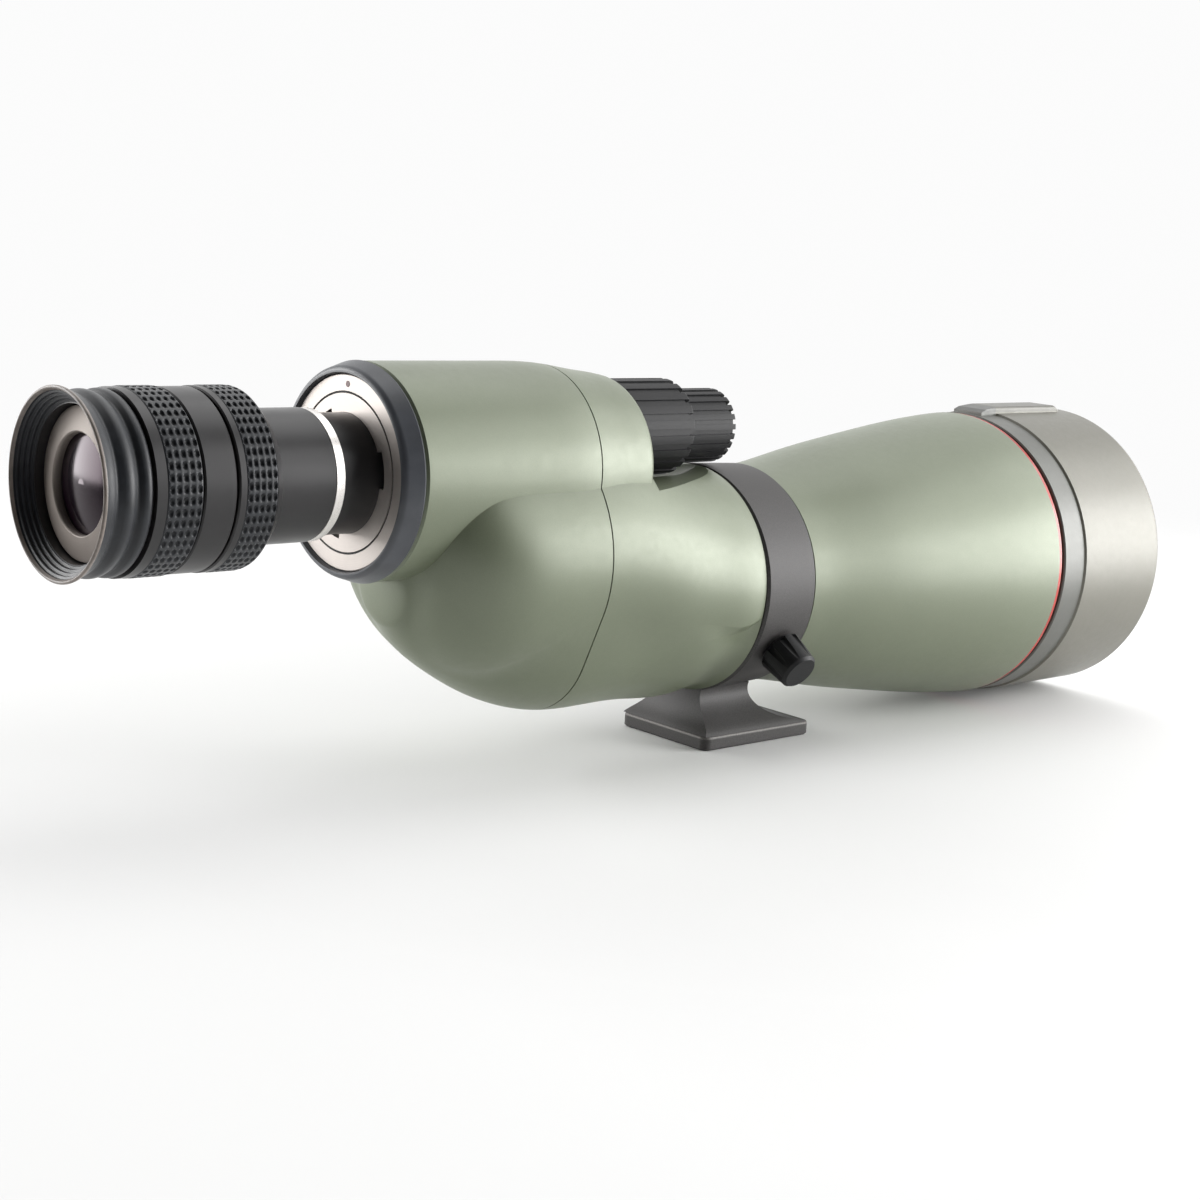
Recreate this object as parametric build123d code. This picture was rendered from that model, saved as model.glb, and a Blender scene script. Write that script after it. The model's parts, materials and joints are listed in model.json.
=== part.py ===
from build123d import *
import math
import os

# A straight spotting scope on a rotating tripod collar, in millimetres.
#
# Everything is drawn in scope coordinates: x = 0 at the rear face of the tripod collar with +X
# towards the objective, and y = z = 0 on the optical axis of the objective. place() then moves
# each piece into the row frame, whose origin is the mouth of the tripod thread, in the middle of
# the foot's bottom face.

# --- driving dimensions ------------------------------------------------------------------------
FOOT_CENTRE_X = 19.35      # middle of the foot, in front of the collar's rear face
AXIS_HEIGHT = 55.0         # optical axis above the bottom of the foot
EYE_Z = 40.1               # eyepiece axis above the optical axis
KNOB_Z = 51.0              # focus knob axis above the optical axis
RUN = 0.05                 # radial clearance of a running fit
WALL = 2.2                 # casing wall

# tripod collar and foot
COLLAR_WIDTH = 23.6
COLLAR_R_REAR = 38.2
COLLAR_R_FRONT = 37.4
JOURNAL_R = 35.4           # the barrel's bearing surface under the collar
FOOT_REAR_X = -5.7
FOOT_FRONT_X = 45.9
FOOT_WIDTH = 41.0
FOOT_EDGE = 4.7
TRIPOD_THREAD_R = 2.55     # core radius of a 1/4-20 thread
TRIPOD_THREAD_DEPTH = 9.0
LOCK_ANGLE = 210.0         # direction of the lock knob about the optical axis, from +Y
LOCK_X = 12.2
LOCK_SCREW_R = 2.45
LOCK_PAD_TOP_R = 36.25     # outer end of the pad, from the optical axis
LOCK_PAD_LIFT = 0.75       # how far the pad comes off the journal

# casing
SEAM_X = -70.0
HOUSING_R = 32.0
HOUSING_REAR_X = -136.4
HOUSING_FRONT_X = -43.8
CASING_FRONT_X = -0.4

# front barrel, objective and hood
BARREL_FRONT_X = 137.0
CELL_R = 49.55
CELL_BORE_R = 45.6
LENS_R = 45.5
CELL_FRONT_X = 192.0
FILTER_THREAD_R = 47.0     # core radius of a 95 mm filter thread
FILTER_THREAD_LENGTH = 6.0
TRIM_R = 52.7
HOOD_REAR_X = 140.4
HOOD_STEP_X = 152.0
HOOD_FRONT_X = 199.9
HOOD_R = 53.5
HOOD_BORE_R = 50.4

# focusing
COARSE_R = 15.6
COARSE_FRONT_X = -15.8
FINE_R = 12.2
FINE_FRONT_X = 6.4
FOCUS_SCREW_R = 4.0
FINE_SHAFT_R = 1.8
ROD_R = 2.0
ROD_Y = 27.0
ROD_Z = -4.0
CARRIAGE_X = -28.0         # middle of the focusing lens cell at rest
NUT_REAR_X = -58.6         # nut of the focusing cell on the focus screw
NUT_FRONT_X = -53.4

# prisms: two Porro prisms turned 45 degrees, so that together they lift the axis by EYE_Z
PRISM_HALF_LENGTH = 22.5
PRISM_HALF_WIDTH = 10.2
PRISM_FLAT = 2.0           # half width of the flat ground on each apex
CLAMP_SCREW_OFFSET = 11.9
PLATE_REAR_X = -96.0
PLATE_FRONT_X = -93.4

# eyepiece mount
MOUNT_FACE_X = -141.8
NECK_R = 17.4
BAYONET_R = 22.85
FLANGE_R = 28.3
LUG_R = 19.1
UNLOCK_TURN = 40.0
BUTTON_X = -128.7
BUTTON_Z = EYE_Z + 17.5
BUTTON_R = 3.4
BUTTON_STEM_R = 1.8

# eyepiece
EYE_TUBE_R = 19.0
EYE_TUBE_BORE_R = 16.9
GUIDE_R = 15.05
GUIDE_BORE_R = 13.85
ZOOM_TURN = 110.0
ZOOM_RING_REAR_X = -192.9
ZOOM_RING_FRONT_X = -177.4
SCALE_REAR_X = -203.3
GRIP_BASE_R = 24.6
GRIP_R = 25.5
EYECUP_FRONT_X = -203.7
EYECUP_RIM_X = -232.7
EYECUP_SLIDE_R = 21.0


# --- helpers -----------------------------------------------------------------------------------
def rod(x0, x1, radius, z=0.0, y=0.0):
    """Round bar along X."""
    return Pos((x0 + x1) / 2, y, z) * Rot(0, 90, 0) * Cylinder(radius, x1 - x0)


def tube(x0, x1, bore, radius, z=0.0, y=0.0):
    """Round tube along X."""
    return rod(x0, x1, radius, z, y) - rod(x0 - 1, x1 + 1, bore, z, y)


def turned(outline, z=0.0):
    """Solid of revolution about a line along X; outline lists (x, radius) corners in order."""
    return Pos(0, 0, z) * revolve(make_face(Polyline(*outline, close=True)), Axis.X)


def block(x0, x1, y0, y1, z0, z1):
    """Box between two corners."""
    return Pos((x0 + x1) / 2, (y0 + y1) / 2, (z0 + z1) / 2) * Box(x1 - x0, y1 - y0, z1 - z0)


def about_x(angle, solid, z=0.0):
    """Turn a solid about the line along X at height z."""
    return Pos(0, 0, z) * Rot(angle, 0, 0) * Pos(0, 0, -z) * solid


def radial_rod(radius, inner, outer, x, angle, z=0.0):
    """Round bar pointing away from the axis at height z, angle measured from +Y towards +Z."""
    bar = Pos(x, (inner + outer) / 2, z) * Rot(90, 0, 0) * Cylinder(radius, outer - inner)
    return about_x(angle, bar, z)


def sector(x0, x1, inner, outer, start, sweep, z=0.0):
    """Part of a tube, from the angle start (from +Y towards +Z) over the angle sweep."""
    outline = [(x0, inner), (x1, inner), (x1, outer), (x0, outer)]
    part_turn = revolve(make_face(Polyline(*outline, close=True)), Axis.X, sweep)
    return Pos(0, 0, z) * Rot(start, 0, 0) * part_turn


def lens(rear, front, radius, rear_bulge, front_bulge, z=0.0):
    """Round lens between two edge planes; a positive bulge stands out of its plane."""

    def dip(bulge, height):
        sphere = (radius ** 2 + bulge ** 2) / (2 * abs(bulge))
        return math.copysign(sphere - math.sqrt(sphere ** 2 - height ** 2), bulge)

    half = radius / 2
    rear_apex = rear - rear_bulge
    front_apex = front + front_bulge
    outline = [
        ThreePointArc((rear_apex, 0), (rear_apex + dip(rear_bulge, half), half), (rear, radius)),
        Line((rear, radius), (front, radius)),
        ThreePointArc((front, radius), (front_apex - dip(front_bulge, half), half), (front_apex, 0)),
        Line((front_apex, 0), (rear_apex, 0)),
    ]
    return Pos(0, 0, z) * revolve(make_face(outline), Axis.X)


def place(solid):
    """Scope coordinates to row frame."""
    return Pos(-FOOT_CENTRE_X, 0, AXIS_HEIGHT) * solid


# --- casing ------------------------------------------------------------------------------------
# Sections of the lower body: x, then height and radius of the upper and of the lower circle whose
# common outline is the section.
BODY_SECTIONS = [
    (-127.2, 17.0, 2.2, 12.5, 2.0),
    (-127.0, 19.0, 6.0, 10.5, 5.5),
    (-126.2, 22.0, 12.6, 8.4, 11.6),
    (-124.8, 23.0, 21.0, 6.8, 13.2),
    (-122.6, 22.0, 27.4, 5.0, 13.8),
    (-118.0, 19.6, 32.1, 2.3, 16.4),
    (-111.0, 17.2, 35.9, 0.0, 19.7),
    (-102.0, 15.0, 38.2, -2.6, 22.8),
    (-88.0, 14.0, 39.0, -5.2, 27.2),
    (-70.0, 14.0, 38.8, -6.4, 30.8),
    (-50.0, 11.6, 38.5, -5.3, 32.1),
    (-36.0, 7.8, 38.3, -3.1, 34.3),
    (-18.0, 3.2, 37.9, -1.4, 36.5),
    (CASING_FRONT_X, 0.8, 37.3, -0.8, 37.0),
]
CHIN_STRAIGHT_X = -117.0   # behind this the casing closes, so its wall is also kept along X


def rounded_section(x, z_top, r_top, z_low, r_low):
    """Common outline of two circles, one above the other, in the plane at x."""
    slope = (r_top - r_low) / (z_top - z_low)
    rise = math.asin(slope)
    flank_y = math.cos(rise)
    flank_z = -math.sin(rise)
    top_right = (r_top * flank_y, z_top + r_top * flank_z)
    low_right = (r_low * flank_y, z_low + r_low * flank_z)
    top_left = (-top_right[0], top_right[1])
    low_left = (-low_right[0], low_right[1])
    outline = [
        ThreePointArc(top_right, (0, z_top + r_top), top_left),
        Line(top_left, low_left),
        ThreePointArc(low_left, (0, z_low - r_low), low_right),
        Line(low_right, top_right),
    ]
    return Plane(origin=(x, 0, 0), x_dir=(0, 1, 0), z_dir=(1, 0, 0)) * make_face(outline)


def lower_body(inset):
    """The bulged lower casing as a full solid, smaller by inset all round."""
    sections = []
    for x, z_top, r_top, z_low, r_low in BODY_SECTIONS:
        if r_low - inset > 1.0:
            steepness = min(1.0, max(0.0, (CHIN_STRAIGHT_X - x) / 8.0))
            moved = x + inset * steepness
            sections.append(rounded_section(moved, z_top, r_top - inset, z_low, r_low - inset))
    return loft(sections)


def housing(inset):
    """The round upper casing about the eyepiece axis as a full solid, smaller by inset."""
    rear = HOUSING_REAR_X + inset
    front = HOUSING_FRONT_X - inset
    shoulder = HOUSING_R - inset
    outline = [
        Line((rear, 0), (rear, shoulder - 1.0)),
        Line((rear, shoulder - 1.0), (rear + 1.0, shoulder)),
        Line((rear + 1.0, shoulder), (-92.0, shoulder)),
        Spline(
            (-92.0, shoulder), (-70.0, shoulder - 0.7), (-59.0, shoulder - 2.3), (front - 3.4, 28.1 - inset),
            tangents=[(1, 0), (1, -0.2)],
        ),
        ThreePointArc((front - 3.4, 28.1 - inset), (front - 0.9, 26.9 - inset), (front, 24.4 - inset)),
        Line((front, 24.4 - inset), (front, 0)),
        Line((front, 0), (rear, 0)),
    ]
    return Pos(0, 0, EYE_Z) * revolve(make_face(outline), Axis.X)


# Height of the shelf under the focus knobs along the casing, from the housing to the collar.
SHELF = [(HOUSING_FRONT_X, 35.1), (-31.0, 35.5), (-15.0, 36.3), (-6.5, 37.1), (1.0, 38.2)]


def knob_pocket(extra):
    """Space over the shelf in the top of the casing, with a trough under the focus knobs."""
    trough = turned([
        (HOUSING_FRONT_X - extra, 0),
        (HOUSING_FRONT_X - extra, COARSE_R + 1.6 + extra),
        (-15.0, COARSE_R + 1.4 + extra),
        (0.0, 13.0 + extra),
        (0.0, 0),
    ], KNOB_Z)
    rear = HOUSING_FRONT_X - extra
    floor = [(rear, SHELF[0][1] - extra)] + [(x, z - extra) for x, z in SHELF[1:]]
    side = [
        Spline(*floor),
        Line(floor[-1], (floor[-1][0], 70.0)),
        Line((floor[-1][0], 70.0), (rear, 70.0)),
        Line((rear, 70.0), floor[0]),
    ]
    return trough + extrude(Plane.XZ * make_face(side), 45.0, both=True)


def casing_solid(inset):
    """Whole rear casing without its cavity."""
    return housing(inset) + lower_body(inset) - knob_pocket(inset)


def casing_shell():
    """Whole rear casing as a shell, before it is parted at the seam."""
    cavity = casing_solid(WALL) & block(HOUSING_REAR_X + WALL, 10, -60, 60, -60, 90)
    shell = casing_solid(0.0) - cavity
    mount_seat = rod(HOUSING_REAR_X - 20, HOUSING_REAR_X, HOUSING_R + 0.6, EYE_Z)
    mouth = rod(CASING_FRONT_X - 3.0, CASING_FRONT_X + 1.0, 34.9)
    return shell - mount_seat - mouth


def rear_casing(shell):
    """Rear half: houses the prisms and carries the eyepiece mount."""
    half = shell & block(-160, SEAM_X - 0.25, -60, 60, -60, 90)
    half -= rod(HOUSING_REAR_X - 1, HOUSING_REAR_X + 5, BAYONET_R + 0.1, EYE_Z)
    button_hole = Pos(BUTTON_X, 30, BUTTON_Z) * Rot(90, 0, 0) * Cylinder(BUTTON_R + RUN, 30)
    return half - button_hole


def front_casing(shell):
    """Front half: carries the focus knobs and takes the barrel."""
    half = shell & block(SEAM_X + 0.25, 10, -60, 60, -60, 90)
    return half - rod(HOUSING_FRONT_X - 5, HOUSING_FRONT_X + 2, 7.0, KNOB_Z)


def casing_gasket():
    """Flat gasket between the casing halves, a little inside their surface."""
    ring = casing_solid(0.35) - casing_solid(WALL)
    return ring & block(SEAM_X - 0.25, SEAM_X + 0.25, -60, 60, -60, 90)


# --- barrel, objective and hood ----------------------------------------------------------------
BARREL_PROFILE = [(24.0, 36.7), (33.0, 37.8), (55.0, 41.9), (90.0, 47.5), (116.0, 51.0), (137.0, 52.8)]


def front_barrel():
    """Flared front tube with the collar's journal at its rear."""
    bore = [(x, radius - 2.3) for x, radius in BARREL_PROFILE[:-1]]
    outline = [
        Line((-3.0, 32.6), (-3.0, 34.6)),
        Line((-3.0, 34.6), (CASING_FRONT_X, 34.6)),
        Line((CASING_FRONT_X, 34.6), (CASING_FRONT_X, JOURNAL_R)),
        Line((CASING_FRONT_X, JOURNAL_R), (24.0, JOURNAL_R)),
        Line((24.0, JOURNAL_R), BARREL_PROFILE[0]),
        Spline(*BARREL_PROFILE),
        Line(BARREL_PROFILE[-1], (BARREL_FRONT_X, 51.2)),
        Line((BARREL_FRONT_X, 51.2), (139.4, 51.2)),
        Line((139.4, 51.2), (139.4, CELL_R + 0.05)),
        Line((139.4, CELL_R + 0.05), (126.0, CELL_R + 0.05)),
        Line((126.0, CELL_R + 0.05), bore[-1]),
        Spline(*reversed(bore)),
        Line(bore[0], (24.0, 32.6)),
        Line((24.0, 32.6), (-3.0, 32.6)),
    ]
    return revolve(make_face(outline), Axis.X)


def trim_ring():
    """Coloured ring round the barrel's front end."""
    outline = [(137.1, 51.2), (138.9, 51.2), (138.9, 52.2), (138.4, TRIM_R), (137.1, TRIM_R)]
    return turned(outline)


def objective_cell():
    """Tube that holds the objective, guides the hood and ends in the filter thread."""
    outline = [
        (126.5, 43.6),
        (142.0, 43.6),
        (142.0, CELL_BORE_R),
        (CELL_FRONT_X - FILTER_THREAD_LENGTH, CELL_BORE_R),
        (CELL_FRONT_X - FILTER_THREAD_LENGTH, FILTER_THREAD_R),
        (CELL_FRONT_X, FILTER_THREAD_R),
        (CELL_FRONT_X, CELL_R - 0.6),
        (CELL_FRONT_X - 0.6, CELL_R),
        (126.5, CELL_R),
    ]
    return turned(outline)


def objective_lenses():
    """Three separated elements, from the rear one to the front one."""
    return {
        "objective_rear_lens": lens(143.0, 148.0, LENS_R, -1.6, -3.0),
        "objective_middle_lens": lens(150.9, 157.0, LENS_R, 2.6, 3.6),
        "objective_front_lens": lens(163.0, 171.0, LENS_R, -2.4, 5.5),
    }


def objective_spacers():
    """Rings that keep the elements apart, as separate solids."""
    rings = [(148.1, 150.5), (157.5, 162.9)]
    return Part() + [tube(x0, x1, 43.9, LENS_R) for x0, x1 in rings]


def objective_retaining_ring():
    """Threaded ring with two spanner notches that clamps the lens stack."""
    ring = tube(171.5, 176.0, 43.9, LENS_R)
    for turn in (0, 180):
        ring -= Rot(turn, 0, 0) * block(174.6, 177.0, -1.2, 1.2, 43.0, 46.0)
    return ring


def barrel_baffle():
    """Knife-edge light baffle in the barrel."""
    return turned([(70.0, 32.0), (71.2, 32.4), (71.2, 42.0), (70.0, 42.0)])


def lens_hood():
    """Sliding sun hood with its sighting bar."""
    outline = [
        Line((HOOD_REAR_X, HOOD_BORE_R), (HOOD_REAR_X, 52.3)),
        Line((HOOD_REAR_X, 52.3), (HOOD_REAR_X + 0.5, 52.8)),
        Line((HOOD_REAR_X + 0.5, 52.8), (HOOD_STEP_X, 52.8)),
        Line((HOOD_STEP_X, 52.8), (HOOD_STEP_X + 0.7, HOOD_R)),
        Line((HOOD_STEP_X + 0.7, HOOD_R), (HOOD_FRONT_X - 2.0, HOOD_R)),
        ThreePointArc((HOOD_FRONT_X - 2.0, HOOD_R), (HOOD_FRONT_X - 0.5, 52.9), (HOOD_FRONT_X, 51.6)),
        Line((HOOD_FRONT_X, 51.6), (HOOD_FRONT_X, 51.0)),
        Line((HOOD_FRONT_X, 51.0), (HOOD_FRONT_X - 0.6, HOOD_BORE_R)),
        Line((HOOD_FRONT_X - 0.6, HOOD_BORE_R), (HOOD_REAR_X, HOOD_BORE_R)),
    ]
    shell = revolve(make_face(outline), Axis.X)
    side = [
        (143.3, 51.5),
        (143.3, 53.6),
        (146.0, 54.6),
        (153.4, 55.6),
        (188.8, 55.6),
        (191.0, 54.0),
        (191.0, 51.5),
    ]
    bar_face = Plane.XZ * make_face(Polyline(*side, close=True))
    bar = extrude(bar_face, 6.5, both=True)
    bar = fillet(bar.edges().filter_by(Axis.X).sort_by(Axis.Z)[-2:], 1.2)
    return shell + bar


def hood_guide_ring():
    """Slippery ring glued in the hood's rear end, which runs on the cell."""
    return tube(HOOD_REAR_X + 1.0, HOOD_REAR_X + 9.0, CELL_R + RUN, HOOD_BORE_R)


# --- tripod collar -----------------------------------------------------------------------------
# Sections of the pedestal: height, rear x, front x, half width.
PEDESTAL_SECTIONS = [
    (-50.3, -5.3, 44.0, 20.1),
    (-49.2, -4.4, 39.0, 19.2),
    (-47.6, -3.0, 32.5, 17.4),
    (-45.2, -1.5, 27.2, 14.6),
    (-42.0, -0.4, 24.2, 11.8),
    (-36.0, 0.4, 23.2, 11.0),
]


def tripod_collar():
    """Ring, flared pedestal and foot plate in one casting."""
    ring = turned([
        (0.0, JOURNAL_R + RUN),
        (COLLAR_WIDTH, JOURNAL_R + RUN),
        (COLLAR_WIDTH, COLLAR_R_FRONT - 0.8),
        (COLLAR_WIDTH - 0.8, COLLAR_R_FRONT),
        (0.8, COLLAR_R_REAR),
        (0.0, COLLAR_R_REAR - 0.8),
    ])
    sections = []
    for z, rear, front, half_width in PEDESTAL_SECTIONS:
        outline = Rectangle(front - rear, 2 * half_width)
        sections.append(Pos((front + rear) / 2, 0, z) * outline)
    pedestal = loft(sections)
    side_y = FOOT_WIDTH / 2
    plate = block(FOOT_REAR_X, FOOT_FRONT_X, -side_y, side_y, -AXIS_HEIGHT, FOOT_EDGE - AXIS_HEIGHT)
    plate = fillet(plate.edges().filter_by(Axis.Z), 3.0)
    plate = chamfer(plate.edges().group_by(Axis.Z)[0], 0.5)
    plate = fillet(plate.edges().group_by(Axis.Z)[-1], 0.8)
    body = ring + pedestal + plate
    body -= rod(-10, 50, JOURNAL_R + RUN)
    body -= Pos(FOOT_CENTRE_X, 0, -AXIS_HEIGHT + 5.0) * Cylinder(5.0, 10.0)
    body -= radial_rod(LOCK_SCREW_R + RUN, 30, 45, LOCK_X, LOCK_ANGLE)
    body -= radial_rod(4.2, 30, LOCK_PAD_TOP_R + LOCK_PAD_LIFT + 0.1, LOCK_X, LOCK_ANGLE)
    return body


def tripod_thread_insert():
    """Steel bush in the foot with the tripod thread."""
    bush = Pos(FOOT_CENTRE_X, 0, -AXIS_HEIGHT + 4.9) * Cylinder(4.95, 9.8)
    hole = Pos(FOOT_CENTRE_X, 0, -AXIS_HEIGHT + TRIPOD_THREAD_DEPTH / 2) * Cylinder(
        TRIPOD_THREAD_R, TRIPOD_THREAD_DEPTH
    )
    return bush - hole


def collar_lock_pad():
    """Plastic pad that the lock screw presses on the journal."""
    pad = radial_rod(4.1, JOURNAL_R - 2, LOCK_PAD_TOP_R, LOCK_X, LOCK_ANGLE)
    return pad - rod(0, 24, JOURNAL_R + 0.03)


def collar_lock_screw():
    """Steel screw moulded into the lock knob."""
    return radial_rod(LOCK_SCREW_R, LOCK_PAD_TOP_R + 0.1, 47.0, LOCK_X, LOCK_ANGLE)


def collar_lock_knob():
    """Tapered knob with grip grooves, drawn along Z and then turned to its place."""
    profile = [(0, 38.9), (7.0, 38.9), (7.6, 39.5), (6.6, 49.4), (5.7, 50.4), (0, 50.4)]
    knob = revolve(Plane.XZ * make_face(Polyline(*profile, close=True)), Axis.Z)
    for index in range(9):
        groove = Pos(7.9, 0, 45.5) * Cylinder(1.3, 12.0)
        knob -= Rot(0, 0, index * 40) * groove
    knob = Rot(-90, 0, 0) * knob
    knob = Pos(LOCK_X, 0, 0) * Rot(LOCK_ANGLE, 0, 0) * knob
    return knob - radial_rod(LOCK_SCREW_R, 30, 47.0, LOCK_X, LOCK_ANGLE)


# --- focusing ----------------------------------------------------------------------------------
def ribbed_knob(x0, x1, radius, ribs):
    """Knob along X: shallow flutes between its ribs, each ending in a deep notch at the front rim."""
    edge = 1.2
    outline = [
        Line((x0, 0), (x0, radius - 0.8)),
        Line((x0, radius - 0.8), (x0 + 0.8, radius)),
        Line((x0 + 0.8, radius), (x1 - edge, radius)),
        ThreePointArc(
            (x1 - edge, radius), (x1 - 0.3 * edge, radius - 0.3 * edge), (x1, radius - edge)
        ),
        Line((x1, radius - edge), (x1, 0)),
        Line((x1, 0), (x0, 0)),
    ]
    knob = revolve(make_face(outline), Axis.X)
    half_flute = math.pi * radius / ribs * 0.46
    for index in range(ribs):
        flute = block(x0 + 2.0, x1 + 1.0, -half_flute, half_flute, radius - 0.5, radius + 1)
        notch = block(x1 - 2.4, x1 + 1.0, -half_flute, half_flute, radius - 1.9, radius)
        knob -= Rot(360 / ribs * index, 0, 0) * (flute + notch)
    return Pos(0, 0, KNOB_Z) * knob


def coarse_focus_knob():
    """Large knob next to the casing."""
    knob = ribbed_knob(HOUSING_FRONT_X + 0.4, COARSE_FRONT_X, COARSE_R, 20)
    return knob - rod(-50, -10, FOCUS_SCREW_R, KNOB_Z)


def fine_focus_knob():
    """Small knob in front of the coarse one."""
    knob = ribbed_knob(COARSE_FRONT_X + 0.4, FINE_FRONT_X, FINE_R, 23)
    return knob - rod(-30, FINE_FRONT_X - 3, FINE_SHAFT_R, KNOB_Z)


def focus_screw():
    """Hollow screw shaft of the coarse knob."""
    shaft = rod(-65.8, COARSE_FRONT_X - 1.0, FOCUS_SCREW_R, KNOB_Z)
    return shaft - rod(-50.0, -10, FINE_SHAFT_R + RUN, KNOB_Z)


def fine_focus_shaft():
    """Shaft of the fine knob inside the hollow screw."""
    return rod(-49.5, FINE_FRONT_X - 3.0, FINE_SHAFT_R, KNOB_Z)


def focus_bush():
    """Bronze bearing of the focus screw in the casing's front wall."""
    return tube(HOUSING_FRONT_X - 4.0, HOUSING_FRONT_X, FOCUS_SCREW_R + RUN, 6.95, KNOB_Z)


def focus_frame():
    """Plate across the front casing that carries the guide rods and the screw's end bearing."""
    plate = casing_solid(WALL + 0.2) & block(-69.6, -66.2, -60, 60, -60, 90)
    plate -= rod(-75, -60, 20.0)
    plate -= rod(-67.0, -60, FOCUS_SCREW_R + RUN, KNOB_Z)
    for side in (-1, 1):
        plate -= rod(-75, -60, ROD_R, ROD_Z, side * ROD_Y)
    return plate


def focus_guide_rods():
    """Two rods on which the focusing cell slides."""
    return Part() + [rod(-69.6, -9.0, ROD_R, ROD_Z, side * ROD_Y) for side in (-1, 1)]


def focus_carriage():
    """Cell of the focusing lens with its two rod bearings and the arm up to the screw nut."""
    x0 = CARRIAGE_X - 6
    x1 = CARRIAGE_X + 6
    cell = rod(x0, x1, 21.0) + block(x0, x1, -ROD_Y, ROD_Y, ROD_Z - 2.0, ROD_Z + 2.0)
    for side in (-1, 1):
        cell += rod(x0, x1, 4.5, ROD_Z, side * ROD_Y)
    arm = [
        (x1, 19.0),
        (x1, 24.0),
        (NUT_FRONT_X, 27.0),
        (NUT_FRONT_X, KNOB_Z),
        (NUT_REAR_X, KNOB_Z),
        (NUT_REAR_X, 21.0),
        (x0, 17.6),
    ]
    arm_face = Plane.XZ * make_face(Polyline(*arm, close=True))
    cell += extrude(arm_face, 2.5, both=True)
    cell += rod(NUT_REAR_X, NUT_FRONT_X, 7.5, KNOB_Z)
    cell -= rod(x0 - 1, x1 + 1, 17.5)
    cell -= rod(-60, -48, FOCUS_SCREW_R + 0.08, KNOB_Z)
    for side in (-1, 1):
        cell -= rod(x0 - 1, x1 + 1, ROD_R + RUN, ROD_Z, side * ROD_Y)
    return cell


def focusing_lens():
    """Negative lens that moves to focus."""
    return lens(CARRIAGE_X - 3.0, CARRIAGE_X + 3.0, 17.4, -1.4, -1.8)


# --- prisms ------------------------------------------------------------------------------------
def porro_prism(base_x, direction, centre_y, centre_z, turn):
    """Right-angle prism: entry face at base_x, apex towards direction, with a ground apex."""
    height = PRISM_HALF_LENGTH - PRISM_FLAT
    outline = [
        (0, -PRISM_HALF_LENGTH),
        (0, PRISM_HALF_LENGTH),
        (direction * height, PRISM_FLAT),
        (direction * height, -PRISM_FLAT),
    ]
    face = Plane.XZ * make_face(Polyline(*outline, close=True))
    solid = extrude(face, PRISM_HALF_WIDTH, both=True)
    return Pos(base_x, centre_y, centre_z) * Rot(turn, 0, 0) * solid


def prism_plate():
    """Plate between the prisms, with the three windows of the folded light path."""
    plate = casing_solid(WALL + 0.2) & block(PLATE_REAR_X, PLATE_FRONT_X, -60, 60, -60, 90)
    for y, z in ((0, 0), (-EYE_Z / 2, EYE_Z / 2), (0, EYE_Z)):
        plate -= rod(PLATE_REAR_X - 1, PLATE_FRONT_X + 1, 9.6, z, y)
    return plate


# Each prism: entry face x, apex direction, centre, and turn about X.
PRISMS = {
    "entry_prism": (PLATE_REAR_X - 0.05, -1, (-EYE_Z / 4, EYE_Z / 4), 45.0),
    "exit_prism": (PLATE_FRONT_X + 0.05, 1, (-EYE_Z / 4, EYE_Z * 3 / 4), -45.0),
}


def prism_clamps():
    """One bar across the apex of each prism, and the two screws that hold it to the plate."""
    bars = []
    screws = []
    for base_x, direction, centre, turn in PRISMS.values():
        apex = base_x + direction * (PRISM_HALF_LENGTH - PRISM_FLAT + 0.05)
        outer = apex + direction * 1.5
        low, high = sorted((apex, outer))
        bar = block(low, high, -14.2, 14.2, -1.9, 1.9)
        for side in (-1, 1):
            bar -= rod(low - 1, high + 1, 1.25, 0, side * CLAMP_SCREW_OFFSET)
            stem_low, stem_high = sorted((base_x, outer))
            screw = rod(stem_low, stem_high, 1.2, 0, side * CLAMP_SCREW_OFFSET)
            head_low, head_high = sorted((outer, outer + direction * 1.0))
            screw += rod(head_low, head_high, 1.8, 0, side * CLAMP_SCREW_OFFSET)
            screws.append(Pos(0, *centre) * Rot(turn, 0, 0) * screw)
        bars.append(Pos(0, *centre) * Rot(turn, 0, 0) * bar)
    return Part() + bars, Part() + screws


# --- eyepiece mount ----------------------------------------------------------------------------
def mount_cover_ring():
    """Black cone ring round the mount."""
    outline = [
        Line((-143.1, 28.8), (-143.1, 29.3)),
        ThreePointArc((-143.1, 29.3), (-142.6, 30.2), (-141.6, 30.8)),
        Line((-141.6, 30.8), (-137.2, 32.2)),
        Line((-137.2, 32.2), (HOUSING_REAR_X - 0.3, 31.9)),
        Line((HOUSING_REAR_X - 0.3, 31.9), (HOUSING_REAR_X - 0.3, FLANGE_R + 0.1)),
        Line((HOUSING_REAR_X - 0.3, FLANGE_R + 0.1), (-141.2, FLANGE_R + 0.1)),
        Line((-141.2, FLANGE_R + 0.1), (-143.1, 28.8)),
    ]
    return Pos(0, 0, EYE_Z) * revolve(make_face(outline), Axis.X)


def mount_flange():
    """Bright outer ring of the mount, with a fine step round its inner edge."""
    outline = [
        (MOUNT_FACE_X, BAYONET_R + 0.65),
        (MOUNT_FACE_X + 1.2, BAYONET_R + 0.65),
        (MOUNT_FACE_X + 1.2, BAYONET_R + 0.15),
        (HOUSING_REAR_X, BAYONET_R + 0.15),
        (HOUSING_REAR_X, FLANGE_R),
        (MOUNT_FACE_X + 0.3, FLANGE_R),
        (MOUNT_FACE_X, FLANGE_R - 0.3),
    ]
    ring = turned(outline, EYE_Z)
    return ring - rod(MOUNT_FACE_X - 1, MOUNT_FACE_X + 1, 0.9, EYE_Z + 25.5)


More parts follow.
